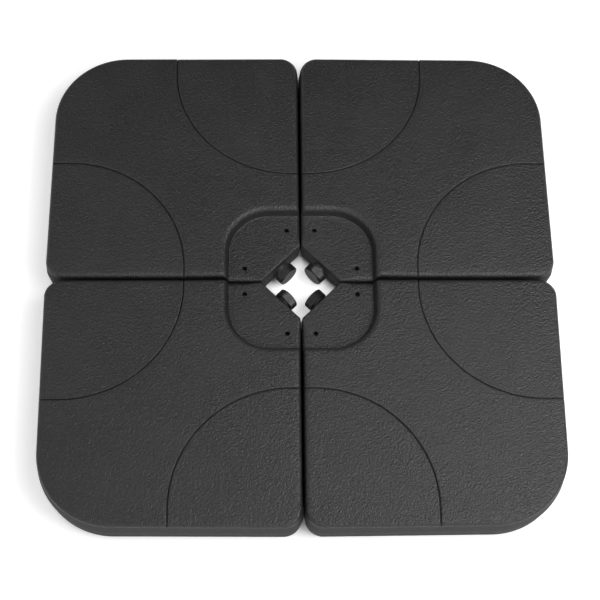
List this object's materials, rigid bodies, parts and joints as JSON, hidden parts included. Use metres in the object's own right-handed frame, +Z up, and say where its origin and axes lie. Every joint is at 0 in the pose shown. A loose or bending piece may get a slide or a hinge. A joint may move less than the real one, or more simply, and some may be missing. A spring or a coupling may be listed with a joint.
{
  "type": "parasol base",
  "caption": "Square weight base for a cantilever parasol: hollow quarter tanks with side filler necks and screw caps around a central mast well.",
  "frame": {"origin": "middle of the square base, on the ground", "axes": "+Z up, +X to the right along the joint between front and rear tanks, +Y to the rear along the joint between left and right tanks"},
  "size_m": [0.9994, 0.9994, 0.075],
  "materials": {
    "tank_plastic": "fine-grained satin black polyethylene, blow-moulded",
    "cap_plastic": "smooth satin black polypropylene, ribbed skirt",
    "seal_rubber": "matt black rubber"
  },
  "bodies": {
    "tank_rear_right": {"tank_rear_right": "tank_plastic"},
    "seal_rear_right": {"seal_rear_right": "seal_rubber"},
    "cap_rear_right": {"cap_rear_right": "cap_plastic"},
    "tank_rear_left": {"tank_rear_left": "tank_plastic"},
    "seal_rear_left": {"seal_rear_left": "seal_rubber"},
    "cap_rear_left": {"cap_rear_left": "cap_plastic"},
    "tank_front_left": {"tank_front_left": "tank_plastic"},
    "seal_front_left": {"seal_front_left": "seal_rubber"},
    "cap_front_left": {"cap_front_left": "cap_plastic"},
    "tank_front_right": {"tank_front_right": "tank_plastic"},
    "seal_front_right": {"seal_front_right": "seal_rubber"},
    "cap_front_right": {"cap_front_right": "cap_plastic"}
  },
  "joints": [
    {"name": "lift_rear_right", "type": "slide", "parent": "tank_rear_left", "child": "tank_rear_right", "axis": [0, 0, 1], "range_m": [0, 0.12]},
    {"name": "draw_rear_right", "type": "slide", "parent": "tank_rear_right", "child": "seal_rear_right", "axis": [-0.7071, -0.7071, 0], "range_m": [0, 0.00805]},
    {"name": "unscrew_rear_right", "type": "hinge", "parent": "seal_rear_right", "child": "cap_rear_right", "pos_m": [0.02553, 0.02553, 0.026], "axis": [-0.7071, -0.7071, 0], "range_deg": [0, 720]},
    {"name": "draw_rear_left", "type": "slide", "parent": "tank_rear_left", "child": "seal_rear_left", "axis": [0.7071, -0.7071, 0], "range_m": [0, 0.00805]},
    {"name": "unscrew_rear_left", "type": "hinge", "parent": "seal_rear_left", "child": "cap_rear_left", "pos_m": [-0.02553, 0.02553, 0.026], "axis": [0.7071, -0.7071, 0], "range_deg": [0, 720]},
    {"name": "lift_front_left", "type": "slide", "parent": "tank_rear_left", "child": "tank_front_left", "axis": [0, 0, 1], "range_m": [0, 0.12]},
    {"name": "draw_front_left", "type": "slide", "parent": "tank_front_left", "child": "seal_front_left", "axis": [0.7071, 0.7071, 0], "range_m": [0, 0.00805]},
    {"name": "unscrew_front_left", "type": "hinge", "parent": "seal_front_left", "child": "cap_front_left", "pos_m": [-0.02553, -0.02553, 0.026], "axis": [0.7071, 0.7071, 0], "range_deg": [0, 720]},
    {"name": "lift_front_right", "type": "slide", "parent": "tank_rear_left", "child": "tank_front_right", "axis": [0, 0, 1], "range_m": [0, 0.12]},
    {"name": "draw_front_right", "type": "slide", "parent": "tank_front_right", "child": "seal_front_right", "axis": [-0.7071, 0.7071, 0], "range_m": [0, 0.00805]},
    {"name": "unscrew_front_right", "type": "hinge", "parent": "seal_front_right", "child": "cap_front_right", "pos_m": [0.02553, -0.02553, 0.026], "axis": [-0.7071, 0.7071, 0], "range_deg": [0, 720]}
  ],
  "couplings": [
    {"joint": "draw_rear_right", "follows": "unscrew_rear_right", "m_per_rad": 0.00063662},
    {"joint": "draw_rear_left", "follows": "unscrew_rear_left", "m_per_rad": 0.00063662},
    {"joint": "draw_front_left", "follows": "unscrew_front_left", "m_per_rad": 0.00063662},
    {"joint": "draw_front_right", "follows": "unscrew_front_right", "m_per_rad": 0.00063662}
  ]
}
